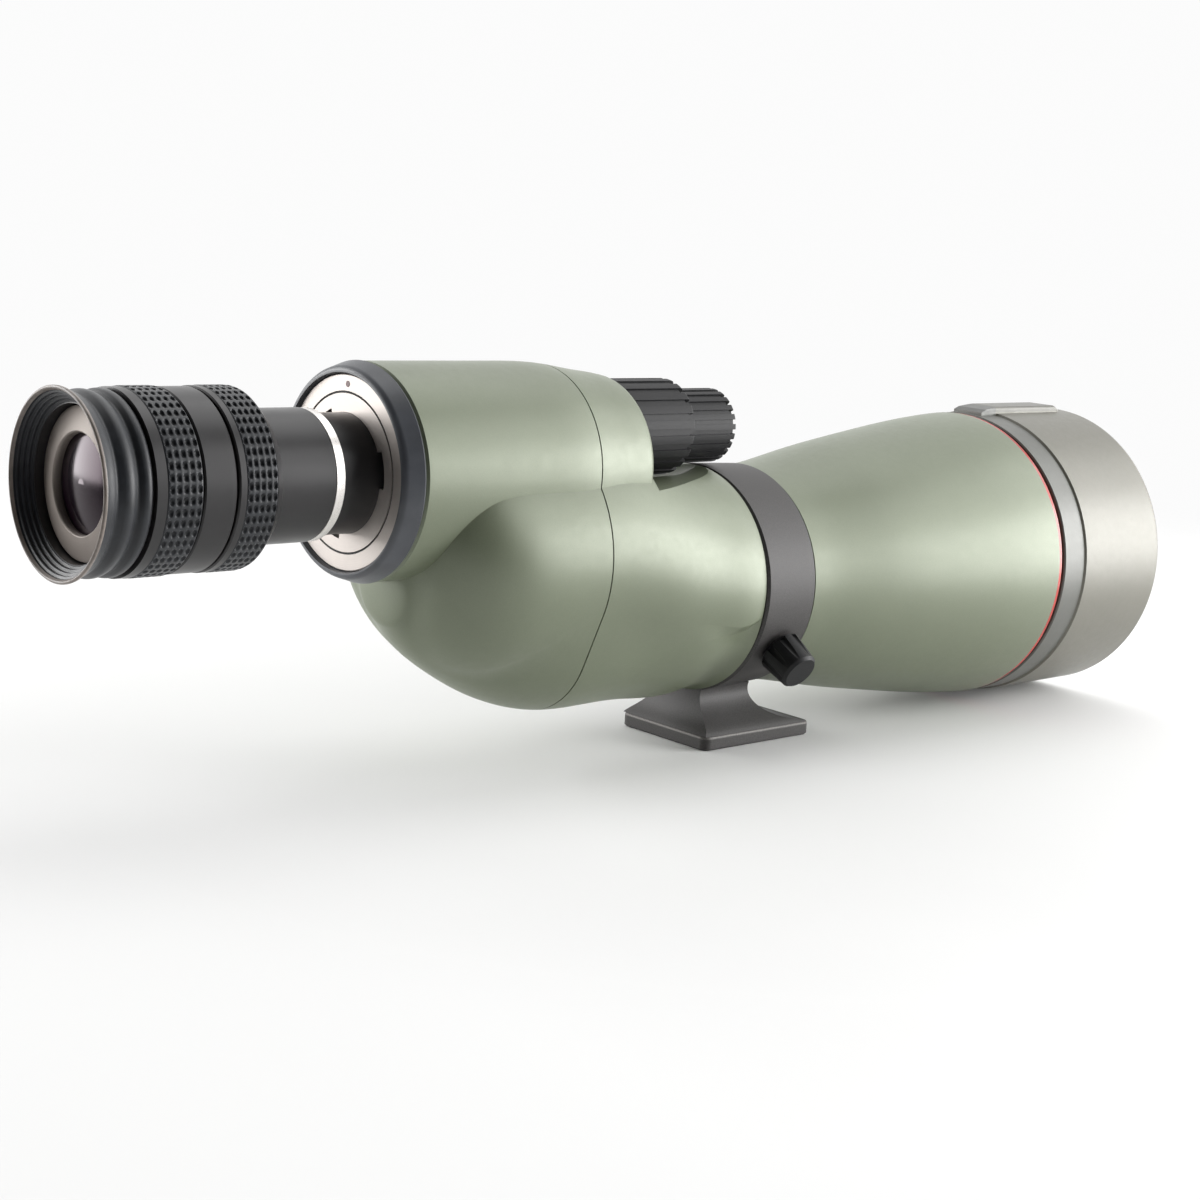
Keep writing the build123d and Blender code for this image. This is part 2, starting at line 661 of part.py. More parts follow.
def index_dot():
    """Coloured dot that marks the eyepiece's turning position."""
    return rod(MOUNT_FACE_X - 0.1, MOUNT_FACE_X + 1, 0.88, EYE_Z + 25.5)


def bayonet_ring():
    """Inner ring with the bayonet lip, its three entry slots and the channel behind."""
    ring = turned([
        (MOUNT_FACE_X, NECK_R + RUN),
        (-136.0, NECK_R + RUN),
        (-136.0, LUG_R + 0.3),
        (-130.8, LUG_R + 0.3),
        (-130.8, BAYONET_R),
        (MOUNT_FACE_X, BAYONET_R),
    ], EYE_Z)
    for index in range(3):
        start = 90 + 120 * index - UNLOCK_TURN - 17
        ring -= sector(MOUNT_FACE_X - 1, -135.5, NECK_R - 1, LUG_R + 0.15, start, 34, EYE_Z)
    return ring


def release_button():
    """Button on the far side with the cross bolt that locks the eyepiece."""
    head = Pos(BUTTON_X, 25.2, BUTTON_Z) * Rot(90, 0, 0) * Cylinder(BUTTON_R, 6.4)
    head = fillet(head.edges().group_by(Axis.Y)[-1], 0.8)
    stem = Pos(BUTTON_X, 8.0, BUTTON_Z) * Rot(90, 0, 0) * Cylinder(BUTTON_STEM_R, 30.0)
    return head + stem


# --- eyepiece ----------------------------------------------------------------------------------
def bayonet_neck():
    """Neck of the eyepiece with the three lugs and the notch for the lock bolt."""
    neck = turned([
        (-163.0, 14.2),
        (-126.6, 14.2),
        (-126.6, 17.1),
        (-131.6, 17.1),
        (-131.6, NECK_R),
        (-157.4, NECK_R),
        (-157.4, EYE_TUBE_BORE_R - 0.05),
        (-163.0, EYE_TUBE_BORE_R - 0.05),
    ], EYE_Z)
    for index in range(3):
        neck += sector(-135.2, -132.2, NECK_R - 0.5, LUG_R, 90 + 120 * index - 15, 30, EYE_Z)
    return neck - sector(-131.4, -126.5, 15.4, 18.0, 90 - 28, 56 + UNLOCK_TURN, EYE_Z)


def neck_ring():
    """Bright ring between the neck and the eyepiece tube."""
    outline = [(-157.4, NECK_R), (-154.5, NECK_R), (-154.5, 18.6), (-154.8, 18.9), (-157.4, 18.9)]
    return turned(outline, EYE_Z)


KEY_X = -185.0
KEY_ANGLE = 200.0


def eyepiece_tube():
    """Fixed outer tube of the eyepiece, with the arc slot for the zoom key."""
    body = turned([
        (-222.0, 15.9),
        (-212.6, 15.9),
        (-212.6, EYE_TUBE_BORE_R),
        (-157.45, EYE_TUBE_BORE_R),
        (-157.45, 18.7),
        (-157.75, EYE_TUBE_R),
        (-222.0, EYE_TUBE_R),
    ], EYE_Z)
    slot = sector(KEY_X - 1.7, KEY_X + 1.7, 16.0, 20.0, KEY_ANGLE - ZOOM_TURN - 7, ZOOM_TURN + 14, EYE_Z)
    return body - slot


def scale_ring():
    """Smooth fixed ring between the zoom ring and the eyecup."""
    outline = [
        (SCALE_REAR_X, EYE_TUBE_R),
        (-193.4, EYE_TUBE_R),
        (-193.4, 24.7),
        (-193.9, 25.2),
        (SCALE_REAR_X + 0.4, 25.2),
        (SCALE_REAR_X, 24.8),
    ]
    return turned(outline, EYE_Z)


# Zoom groups: rest x of the cell's middle, travel, half length, and the angle of its cam pin.
ZOOM_GROUPS = {
    "rear": (-203.0, 8.0, 4.0, 20.0),
    "front": (-176.0, -7.0, 4.5, 140.0),
}
PIN_R = 1.2
PIN_END_R = 16.4


def zoom_guide_tube():
    """Fixed inner tube with a straight slot for each zoom group's pin."""
    body = tube(-212.5, -163.4, GUIDE_BORE_R, GUIDE_R, EYE_Z)
    body += tube(-165.4, -163.4, GUIDE_BORE_R, EYE_TUBE_BORE_R - 0.05, EYE_Z)
    for rest_x, travel, _, angle in ZOOM_GROUPS.values():
        low, high = sorted((rest_x, rest_x + travel))
        slot = block(low - PIN_R - 0.2, high + PIN_R + 0.2, 10, 16, -PIN_R - 0.1, PIN_R + 0.1)
        body -= Pos(0, 0, EYE_Z) * Rot(angle, 0, 0) * slot
    return body


def zoom_cam_tube():
    """Rotating tube whose two helical slots drive the zoom groups."""
    inner = GUIDE_R + RUN
    outer = 16.5
    body = tube(-212.3, -165.6, inner, outer, EYE_Z)
    for rest_x, travel, _, angle in ZOOM_GROUPS.values():
        radius = (inner + outer) / 2
        lead = abs(travel) / math.radians(ZOOM_TURN)
        slope = math.atan(lead / radius)
        half_arc = math.degrees((PIN_R + 0.12) / math.sin(slope) / radius)
        low, high = sorted((rest_x, rest_x + travel))
        length = high - low + 2 * PIN_R + 0.3
        twist = math.copysign(ZOOM_TURN, travel) * length / abs(travel)
        edge = []
        for corner_r, sign in ((inner - 0.5, -1), (outer + 0.5, 1)):
            for step in range(9):
                turn = math.radians(sign * half_arc * (1 - step / 4))
                edge.append((corner_r * math.cos(turn), corner_r * math.sin(turn)))
        section = Plane(origin=(0, 0, 0), x_dir=(0, 1, 0), z_dir=(1, 0, 0)) * make_face(
            Polyline(*edge, close=True)
        )
        slot = Solid.extrude_linear_with_rotation(section.face(), (0, 0, 0), (length, 0, 0), twist)
        start = angle if travel > 0 else angle + ZOOM_TURN
        lead_in = math.copysign(ZOOM_TURN, travel) * (PIN_R + 0.15) / abs(travel)
        body -= Pos(low - PIN_R - 0.15, 0, EYE_Z) * Rot(start - lead_in, 0, 0) * slot
    return body - radial_rod(1.5, 14, 18, KEY_X, KEY_ANGLE, EYE_Z)


def zoom_cell(rest_x, half_length, angle):
    """Cell of one zoom group with its cam pin."""
    cell = tube(rest_x - half_length, rest_x + half_length, 11.5, GUIDE_BORE_R - RUN, EYE_Z)
    return cell + radial_rod(PIN_R, 12.0, PIN_END_R, rest_x, angle, EYE_Z)


def zoom_ring():
    """Turning ring of the zoom, under its rubber grip."""
    outline = [
        (ZOOM_RING_REAR_X, EYE_TUBE_R + RUN),
        (ZOOM_RING_FRONT_X, EYE_TUBE_R + RUN),
        (ZOOM_RING_FRONT_X, 22.0),
        (-180.9, 25.3),
        (-180.9, GRIP_BASE_R),
        (-190.7, GRIP_BASE_R),
        (-190.7, 25.4),
        (ZOOM_RING_REAR_X + 0.4, 25.4),
        (ZOOM_RING_REAR_X, 25.0),
    ]
    ring = turned(outline, EYE_Z)
    return ring - radial_rod(1.5, 18, 23, KEY_X, KEY_ANGLE, EYE_Z)


def zoom_key_screw():
    """Screw that joins the zoom ring to the cam tube through the arc slot."""
    return radial_rod(1.45, 15.3, 22.8, KEY_X, KEY_ANGLE, EYE_Z)


def grip_sleeve(x0, x1):
    """Rubber grip sleeve."""
    return tube(x0, x1, GRIP_BASE_R, GRIP_R, EYE_Z)


def eyepiece_lenses():
    """Fixed lenses of the eyepiece."""
    return {
        "eye_lens": lens(-223.0, -219.2, 15.6, 2.2, 1.0, EYE_Z),
        "inner_eye_lens": lens(-216.8, -213.6, 15.6, 0.9, 0.7, EYE_Z),
        "field_lens": lens(-150.0, -147.0, 14.1, 1.2, 1.2, EYE_Z),
    }


def eye_lens_retainer():
    """Light metal cone ring that holds the eye lens."""
    outline = [
        (-226.6, 17.6),
        (-226.6, EYE_TUBE_R - 0.1),
        (-222.05, EYE_TUBE_R - 0.1),
        (-222.05, 15.7),
        (-223.05, 15.7),
        (-223.05, 14.0),
        (-223.6, 13.5),
    ]
    return turned(outline, EYE_Z)


def field_stop():
    """Thin ring that bounds the field of view."""
    return tube(-145.6, -144.6, 10.0, 14.15, EYE_Z)


def eyecup_cam_ring():
    """Ring on the eyepiece tube that the eyecup climbs on."""
    return tube(-221.0, -204.2, EYE_TUBE_R + RUN, EYECUP_SLIDE_R, EYE_Z)


def eyecup_sleeve():
    """Metal sleeve of the twist-up eyecup."""
    outline = [
        (-227.4, EYECUP_SLIDE_R + RUN),
        (EYECUP_FRONT_X, EYECUP_SLIDE_R + RUN),
        (EYECUP_FRONT_X, 24.8),
        (EYECUP_FRONT_X - 0.3, 25.1),
        (-204.0, GRIP_BASE_R),
        (-214.4, GRIP_BASE_R),
        (-214.4, 25.3),
        (-217.4, 25.3),
        (-217.4, 23.4),
        (-227.4, 22.9),
    ]
    return turned(outline, EYE_Z)


def eyecup_rubber():
    """Soft cup with two ridges and a flared rim."""
    outline = [
        Line((-218.2, 23.5), (-218.2, 24.5)),
        ThreePointArc((-218.2, 24.5), (-219.7, 24.9), (-221.4, 24.5)),
        ThreePointArc((-221.4, 24.5), (-223.2, 24.0), (-225.0, 24.4)),
        ThreePointArc((-225.0, 24.4), (-226.4, 24.8), (-228.0, 24.4)),
        Line((-228.0, 24.4), (-231.8, 25.8)),
        ThreePointArc((-231.8, 25.8), (-232.6, 25.5), (EYECUP_RIM_X, 24.8)),
        Line((EYECUP_RIM_X, 24.8), (-231.5, 24.2)),
        Line((-231.5, 24.2), (-227.6, 21.6)),
        Line((-227.6, 21.6), (-227.5, 23.0)),
        Line((-227.5, 23.0), (-218.2, 23.5)),
    ]
    return Pos(0, 0, EYE_Z) * revolve(make_face(outline), Axis.X)


# --- write -------------------------------------------------------------------------------------
def pieces():
    """Every piece of the scope, by name."""
    shell = casing_shell()
    bars, screws = prism_clamps()
    parts = {
        "tripod_collar": tripod_collar(),
        "tripod_thread_insert": tripod_thread_insert(),
        "collar_lock_pad": collar_lock_pad(),
        "collar_lock_screw": collar_lock_screw(),
        "collar_lock_knob": collar_lock_knob(),
        "rear_casing": rear_casing(shell),
        "front_casing": front_casing(shell),
        "casing_gasket": casing_gasket(),
        "front_barrel": front_barrel(),
        "trim_ring": trim_ring(),
        "barrel_baffle": barrel_baffle(),
        "objective_cell": objective_cell(),
        "objective_spacers": objective_spacers(),
        "objective_retaining_ring": objective_retaining_ring(),
        "lens_hood": lens_hood(),
        "hood_guide_ring": hood_guide_ring(),
        "coarse_focus_knob": coarse_focus_knob(),
        "fine_focus_knob": fine_focus_knob(),
        "focus_screw": focus_screw(),
        "fine_focus_shaft": fine_focus_shaft(),
        "focus_bush": focus_bush(),
        "focus_frame": focus_frame(),
        "focus_guide_rods": focus_guide_rods(),
        "focus_carriage": focus_carriage(),
        "focusing_lens": focusing_lens(),
        "prism_plate": prism_plate(),
        "prism_clamp_bars": bars,
        "prism_clamp_screws": screws,
        "mount_cover_ring": mount_cover_ring(),
        "mount_flange": mount_flange(),
        "index_dot": index_dot(),
        "bayonet_ring": bayonet_ring(),
        "release_button": release_button(),
        "bayonet_neck": bayonet_neck(),
        "neck_ring": neck_ring(),
        "eyepiece_tube": eyepiece_tube(),
        "scale_ring": scale_ring(),
        "zoom_guide_tube": zoom_guide_tube(),
        "zoom_cam_tube": zoom_cam_tube(),
        "zoom_ring": zoom_ring(),
        "zoom_key_screw": zoom_key_screw(),
        "zoom_grip": grip_sleeve(-190.6, -181.0),
        "eye_lens_retainer": eye_lens_retainer(),
        "field_stop": field_stop(),
        "eyecup_cam_ring": eyecup_cam_ring(),
        "eyecup_sleeve": eyecup_sleeve(),
        "eyecup_grip": grip_sleeve(-214.3, -204.0),
        "eyecup_rubber": eyecup_rubber(),
    }
    parts.update(objective_lenses())
    parts.update(eyepiece_lenses())
    for name, (base_x, direction, (y, z), turn) in PRISMS.items():
        parts[name] = porro_prism(base_x, direction, y, z, turn)
    for name, (rest_x, _, half_length, angle) in ZOOM_GROUPS.items():
        parts[name + "_zoom_cell"] = zoom_cell(rest_x, half_length, angle)
        parts[name + "_zoom_lens"] = lens(rest_x - 2.0, rest_x + 2.0, 11.4, 1.2, 1.2, EYE_Z)
    return parts


os.makedirs("parts", exist_ok=True)
for node, solid in pieces().items():
    export_step(place(solid), os.path.join("parts", node + ".step"))
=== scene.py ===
import json
import math
import bpy
from mathutils import Matrix, Vector


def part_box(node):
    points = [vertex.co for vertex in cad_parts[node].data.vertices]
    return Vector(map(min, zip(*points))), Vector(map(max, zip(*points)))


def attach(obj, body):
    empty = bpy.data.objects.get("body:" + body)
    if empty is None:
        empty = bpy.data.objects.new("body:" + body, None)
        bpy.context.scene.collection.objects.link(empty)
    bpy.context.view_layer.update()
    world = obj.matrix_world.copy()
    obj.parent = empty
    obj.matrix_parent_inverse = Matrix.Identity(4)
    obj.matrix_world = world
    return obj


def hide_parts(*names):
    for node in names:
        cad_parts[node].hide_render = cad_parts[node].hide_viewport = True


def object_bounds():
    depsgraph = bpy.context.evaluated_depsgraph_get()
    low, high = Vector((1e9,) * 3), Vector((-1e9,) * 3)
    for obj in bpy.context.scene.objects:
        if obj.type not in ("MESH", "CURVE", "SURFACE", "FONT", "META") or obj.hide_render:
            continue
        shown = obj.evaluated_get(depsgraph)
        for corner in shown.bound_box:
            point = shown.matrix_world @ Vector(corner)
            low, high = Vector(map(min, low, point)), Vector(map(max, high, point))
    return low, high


# Looks of a straight spotting scope. Every length is in metres, in the row frame: the origin is
# the mouth of the tripod thread, +X points to the objective and +Z is up.

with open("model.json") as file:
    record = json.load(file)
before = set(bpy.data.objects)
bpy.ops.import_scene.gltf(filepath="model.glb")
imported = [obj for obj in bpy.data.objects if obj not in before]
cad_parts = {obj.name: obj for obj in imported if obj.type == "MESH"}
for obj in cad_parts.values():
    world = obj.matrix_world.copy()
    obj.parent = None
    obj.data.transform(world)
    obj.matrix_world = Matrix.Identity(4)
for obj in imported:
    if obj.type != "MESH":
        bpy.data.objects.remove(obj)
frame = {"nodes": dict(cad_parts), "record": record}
cad_low, cad_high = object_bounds()
MM = 0.001

# --- places worked out from the frame -----------------------------------------------------------


def middle(node):
    """Centre of a node's box."""
    low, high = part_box(node)
    return (low + high) / 2


def radius_of(node):
    """Outer radius of a round node along X."""
    low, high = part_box(node)
    return (high.z - low.z) / 2


EYE_Z = middle("eyepiece_tube").z
AXIS_Z = middle("objective_cell").z
HOOD_RADIUS = AXIS_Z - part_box("lens_hood")[0].z

# --- camera -------------------------------------------------------------------------------------
CAMERA_PLACE = Vector((-0.51467, -0.49094, 0.17510))
CAMERA_AZIMUTH = math.radians(47.06)
CAMERA_TILT = math.radians(10.565)
CAMERA_ROLL = math.radians(3.8635)
CAMERA_LENS = 63.33
SENSOR = 36.0


def add_camera():
    """Camera at the fitted place, looking towards the front of the scope and a little down."""
    forward = Vector((
        math.cos(CAMERA_TILT) * math.cos(CAMERA_AZIMUTH),
        math.cos(CAMERA_TILT) * math.sin(CAMERA_AZIMUTH),
        -math.sin(CAMERA_TILT),
    ))
    level_right = forward.cross(Vector((0, 0, 1))).normalized()
    level_up = level_right.cross(forward)
    right = math.cos(CAMERA_ROLL) * level_right + math.sin(CAMERA_ROLL) * level_up
    up = -math.sin(CAMERA_ROLL) * level_right + math.cos(CAMERA_ROLL) * level_up
    turn = Matrix((right, up, -forward)).transposed().to_4x4()
    data = bpy.data.cameras.new("camera")
    data.lens = CAMERA_LENS
    data.sensor_width = SENSOR
    data.clip_start = 0.01
    data.clip_end = 50
    camera = bpy.data.objects.new("camera", data)
    camera.matrix_world = Matrix.Translation(CAMERA_PLACE) @ turn
    bpy.context.scene.collection.objects.link(camera)
    bpy.context.scene.camera = camera


# --- material helpers ---------------------------------------------------------------------------
class Graph:
    """A material with a Principled shader, and short calls that add nodes to it."""

    def __init__(self, name, **sockets):
        self.material = bpy.data.materials.new(name)
        self.material.use_nodes = True
        self.tree = self.material.node_tree
        self.shader = self.tree.nodes["Principled BSDF"]
        for socket, value in sockets.items():
            self.set(socket.replace("_", " "), value)

    def set(self, socket, value):
        """Sets a socket of the shader to one value."""
        if socket in ("Base Color", "Coat Tint", "Sheen Tint", "Specular Tint"):
            value = (*value, 1.0)
        self.shader.inputs[socket].default_value = value

    def node(self, kind, **settings):
        """Adds a node and sets its properties."""
        made = self.tree.nodes.new(kind)
        for key, value in settings.items():
            setattr(made, key, value)
        return made

    def link(self, source, target):
        """Joins an output socket to an input socket."""
        self.tree.links.new(source, target)

    def place(self):
        """Point on the surface in the row frame, in metres."""
        if not hasattr(self, "coordinates"):
            self.coordinates = self.node("ShaderNodeTexCoord")
        return self.coordinates.outputs["Object"]

    def noise(self, scale, detail=4.0, roughness=0.55, vector=None):
        """Cloudy pattern with that many cells per metre."""
        made = self.node("ShaderNodeTexNoise")
        made.inputs["Scale"].default_value = scale
        made.inputs["Detail"].default_value = detail
        made.inputs["Roughness"].default_value = roughness
        self.link(vector or self.place(), made.inputs["Vector"])
        return made.outputs["Fac"]

    def math(self, operation, first, second=None):
        """One Math node; each input is a socket or a number."""
        made = self.node("ShaderNodeMath", operation=operation)
        for socket, value in zip(made.inputs, (first, second)):
            if value is None:
                continue
            if isinstance(value, (int, float)):
                socket.default_value = value
            else:
                self.link(value, socket)
        return made.outputs[0]

    def along(self, axis):
        """How far along X, Y or Z a point is, in metres."""
        split = self.node("ShaderNodeSeparateXYZ")
        self.link(self.place(), split.inputs[0])
        return split.outputs[axis]

    def tint(self, colour, factor, tone):
        """Colour multiplied by a tone where factor is 1."""
        mix = self.node("ShaderNodeMix", data_type="RGBA", blend_type="MULTIPLY")
        self.link(factor, mix.inputs[0])
        self.link(colour, mix.inputs[6])
        mix.inputs[7].default_value = (*tone, 1.0)
        return mix.outputs[2]

    def spread(self, value, low, high, start=0.3, end=0.7):
        """Maps a pattern from start..end to low..high."""
        made = self.node("ShaderNodeMapRange")
        made.inputs["From Min"].default_value = start
        made.inputs["From Max"].default_value = end
        made.inputs["To Min"].default_value = low
        made.inputs["To Max"].default_value = high
        self.link(value, made.inputs["Value"])
        return made.outputs["Result"]

    def blend(self, value, first, second, start=0.3, end=0.7):
        """Colour between two colours, by a pattern."""
        made = self.node("ShaderNodeValToRGB")
        ramp = made.color_ramp
        ramp.elements[0].position = start
        ramp.elements[0].color = (*first, 1.0)
        ramp.elements[1].position = end
        ramp.elements[1].color = (*second, 1.0)
        self.link(value, made.inputs["Fac"])
        return made.outputs["Color"]

    def bump(self, height, distance, strength=1.0, under=None):
        """Bump of a pattern, that many metres high, on top of another bump."""
        made = self.node("ShaderNodeBump")
        made.inputs["Distance"].default_value = distance
        made.inputs["Strength"].default_value = strength
        self.link(height, made.inputs["Height"])
        if under is not None:
            self.link(under, made.inputs["Normal"])
        return made.outputs["Normal"]

    def turning(self, axis_z, per_metre):
        """Fine rings left by turning about the line along X at that height."""
        split = self.node("ShaderNodeSeparateXYZ")
        self.link(self.place(), split.inputs[0])
        height = self.math("SUBTRACT", split.outputs["Z"], axis_z)
        square = self.math("ADD", self.math("MULTIPLY", height, height),
                           self.math("MULTIPLY", split.outputs["Y"], split.outputs["Y"]))
        reach = self.math("ADD", self.math("SQRT", square), split.outputs["X"])
        rings = self.node("ShaderNodeTexNoise", noise_dimensions="1D")
        rings.inputs["Scale"].default_value = per_metre
        rings.inputs["Detail"].default_value = 3.0
        self.link(reach, rings.inputs["W"])
        return rings.outputs["Fac"]

    def finish(self, colour=None, roughness=None, normal=None):
        """Joins patterns to the shader and returns the material."""
        for value, socket in ((colour, "Base Color"), (roughness, "Roughness"), (normal, "Normal")):
            if value is not None:
                self.link(value, self.shader.inputs[socket])
        return self.material


def shade(value, factor):
    """A colour made lighter or darker."""
    return tuple(min(1.0, channel * factor) for channel in value)


# --- materials ----------------------------------------------------------------------------------
# The hood's rear band is darker than the rest of the hood; its sight bar is darker too, a painted shade.
HOOD_BAND_LENGTH = 0.01155
HOOD_BAND_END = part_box("lens_hood")[0].x + HOOD_BAND_LENGTH
HOOD_BAND_TONE = (0.66, 0.70, 0.76)
SIGHT_BAR_PAINTED_SHADE = (0.62, 0.62, 0.62)
TONE_EDGE = 0.0001


def satin_paint(name, colour, metallic=0.25, rough=(0.43, 0.49), band=False):
    """Sprayed satin paint: faint clouds, fine orange peel and tiny bright flakes. With band, the
    hood's rear band is darker, and the sight bar is darkened as painted shade."""
    graph = Graph(name, Metallic=metallic, IOR=1.6, Coat_Weight=0.25, Coat_Roughness=0.30)
    cloud = graph.noise(45, 3)
    flake = graph.noise(5200, 2)
    mixed = graph.math("ADD", graph.math("MULTIPLY", cloud, 0.25), graph.math("MULTIPLY", flake, 0.75))
    colours = graph.blend(mixed, shade(colour, 0.93), shade(colour, 1.07), 0.38, 0.62)
    if band:
        behind = graph.spread(graph.along("X"), 1.0, 0.0, HOOD_BAND_END - TONE_EDGE, HOOD_BAND_END)
        colours = graph.tint(colours, behind, HOOD_BAND_TONE)
        # Painted shade: everything above the hood's top, which is the sight bar, is made darker.
        hood_top = AXIS_Z + HOOD_RADIUS
        above = graph.spread(graph.along("Z"), 0.0, 1.0, hood_top, hood_top + 2 * TONE_EDGE)
        colours = graph.tint(colours, above, SIGHT_BAR_PAINTED_SHADE)
    peel = graph.bump(graph.noise(1500, 2), 0.00003, 0.25)
    grain = graph.bump(flake, 0.00001, 0.35, under=peel)
    return graph.finish(colours, graph.spread(graph.noise(400, 3), *rough), grain)


# The painted highlight round the foot's upper edge: heights where it starts to show, shows, starts to
# fade and is gone.
PAINTED_HIGHLIGHT_HEIGHTS = (0.0036, 0.0041, 0.0045, 0.0047)
PAINTED_HIGHLIGHT_TONE = (3.4, 3.4, 3.3)


def crackle_paint(name, colour):
    """Matt casting paint with a fine pebbled texture and a pale painted highlight along the foot's upper
    edge.
    """
    graph = Graph(name, Metallic=0.1, Specular_IOR_Level=0.45)
    pebble = graph.noise(2600, 3, 0.6)
    colours = graph.blend(pebble, shade(colour, 0.70), shade(colour, 1.35), 0.35, 0.65)
    height = graph.along("Z")
    above = graph.spread(height, 0.0, 1.0, *PAINTED_HIGHLIGHT_HEIGHTS[:2])
    below = graph.spread(height, 1.0, 0.0, *PAINTED_HIGHLIGHT_HEIGHTS[2:])
    # Painted highlight: a band round the foot's upper edge is lightened.
    colours = graph.tint(colours, graph.math("MULTIPLY", above, below), PAINTED_HIGHLIGHT_TONE)
    soft = graph.bump(graph.noise(500, 2), 0.00004, 0.2)
    normal = graph.bump(pebble, 0.00004, 0.5, under=soft)
    return graph.finish(colours, graph.spread(pebble, 0.46, 0.62), normal)


def moulded_plastic(name, colour, rough=(0.34, 0.46), gloss=0.5):
    """Satin moulded plastic with a faint spark-eroded grain."""
    graph = Graph(name, Specular_IOR_Level=gloss)
    grain = graph.noise(3200, 3)
    colours = graph.blend(graph.noise(120, 3), shade(colour, 0.85), shade(colour, 1.2))
    return graph.finish(colours, graph.spread(grain, *rough), graph.bump(grain, 0.00002, 0.35))


def soft_rubber(name, colour, rough=(0.5, 0.66)):
    """Rubber: fine grain, with a little dust that lightens it in clouds."""
    graph = Graph(name, Specular_IOR_Level=0.4, Sheen_Weight=0.12, Sheen_Roughness=0.5)
    grain = graph.noise(3800, 4, 0.6)
    dust = graph.noise(230, 5, 0.65)
    colours = graph.blend(dust, shade(colour, 0.82), shade(colour, 1.45), 0.35, 0.75)
    return graph.finish(colours, graph.spread(dust, *rough), graph.bump(grain, 0.00003, 0.45))


RINGS_PER_METRE = 5200


def turned_metal(name, colour, axis_z, metallic, rough, ring_height=0.000004):
    """Turned metal: fine rings about its axis, with a slightly uneven finish."""
    graph = Graph(name, Metallic=metallic)
    rings = graph.turning(axis_z, RINGS_PER_METRE)
    cloud = graph.noise(160, 3)
    tone = graph.math("ADD", graph.math("MULTIPLY", rings, 0.5), graph.math("MULTIPLY", cloud, 0.5))
    colours = graph.blend(tone, shade(colour, 0.92), shade(colour, 1.08), 0.35, 0.65)
    normal = graph.bump(rings, ring_height, 0.3)
    return graph.finish(colours, graph.spread(tone, *rough), normal)


def lens_glass(name, tint, film):
    """Polished coated glass with a trace of dust."""
    graph = Graph(
        name, Transmission_Weight=0.92, IOR=1.52, Specular_Tint=tint, Coat_Weight=0.3,
        Coat_Roughness=0.03, Coat_Tint=tint, Thin_Film_Thickness=film, Thin_Film_IOR=1.38,
    )
    dust = graph.noise(900, 5, 0.7)
    colours = graph.blend(dust, shade(tint, 0.96), shade(tint, 1.0), 0.4, 0.8)
    return graph.finish(colours, graph.spread(dust, 0.015, 0.05, 0.4, 0.8))


def deep_glass(name, colour, tint):
    """Coated lens in front of a dark barrel: nearly black, with a tinted soft reflection."""
    graph = Graph(name, IOR=1.45, Specular_Tint=tint)
    dust = graph.noise(900, 5, 0.7)
    colours = graph.blend(dust, shade(colour, 0.8), shade(colour, 1.6), 0.4, 0.8)
    return graph.finish(colours, graph.spread(dust, 0.14, 0.18, 0.4, 0.8))


def make_materials():
    """Every finish of the scope, by the record's slot names and a few of their variants."""
    sage = (0.165, 0.190, 0.125)
    return {
        "casing_paint": satin_paint("casing_paint", sage),
        "hood_paint": satin_paint("hood_paint", (0.145, 0.140, 0.113), band=True),
        "collar_paint": crackle_paint("collar_paint", (0.050, 0.047, 0.046)),
        "trim_red": moulded_plastic("trim_red", (0.42, 0.03, 0.02), (0.16, 0.24)),
        "knob_plastic": moulded_plastic("knob_plastic", (0.006, 0.006, 0.007), (0.46, 0.58), 0.32),
        "grip_rubber": soft_rubber("grip_rubber", (0.015, 0.017, 0.021), (0.36, 0.48)),
        # The lip's bead: the dark rubber given a pale colour, a painted highlight along the eyecup's rim.
        "lip_rubber_painted_highlight": soft_rubber("lip_rubber_painted_highlight", (0.20, 0.17, 0.15), (0.30, 0.42)),
        "dot_paint": moulded_plastic("dot_paint", (0.10, 0.008, 0.006), (0.3, 0.4)),
        "cover_paint": moulded_plastic("cover_paint", (0.060, 0.065, 0.076), (0.34, 0.44), 0.6),
        "black_anodised": turned_metal("black_anodised", (0.026, 0.025, 0.026), EYE_Z, 0.2, (0.30, 0.40)),
        "bright_metal": turned_metal("bright_metal", (0.50, 0.46, 0.43), EYE_Z, 0.7, (0.40, 0.52)),
        "bright_edge": turned_metal("bright_edge", (0.85, 0.82, 0.79), EYE_Z, 0.9, (0.24, 0.34)),
        "groove_black": moulded_plastic("groove_black", (0.004, 0.004, 0.004), (0.6, 0.7)),
        "cone_metal": turned_metal("cone_metal", (0.30, 0.262, 0.235), EYE_Z, 0.35, (0.45, 0.58)),
        "steel": turned_metal("steel", (0.55, 0.55, 0.56), AXIS_Z, 1.0, (0.22, 0.34)),
        "bronze": turned_metal("bronze", (0.50, 0.33, 0.14), EYE_Z, 1.0, (0.25, 0.38)),
        "nylon": moulded_plastic("nylon", (0.045, 0.045, 0.046), (0.45, 0.6)),
        "coated_glass": lens_glass("coated_glass", (0.86, 0.80, 0.92), 520.0),
        "clear_glass": lens_glass("clear_glass", (0.93, 0.96, 0.95), 300.0),
        "eye_glass": deep_glass("eye_glass", (0.004, 0.001, 0.004), (0.62, 0.42, 0.52)),
    }


# Finishes of single CAD nodes that differ from the rest of their slot.
NODE_FINISHES = {
    "mount_cover_ring": "cover_paint",
    "eye_lens": "eye_glass",
    "index_dot": "dot_paint",
    "neck_ring": "bright_edge",
}


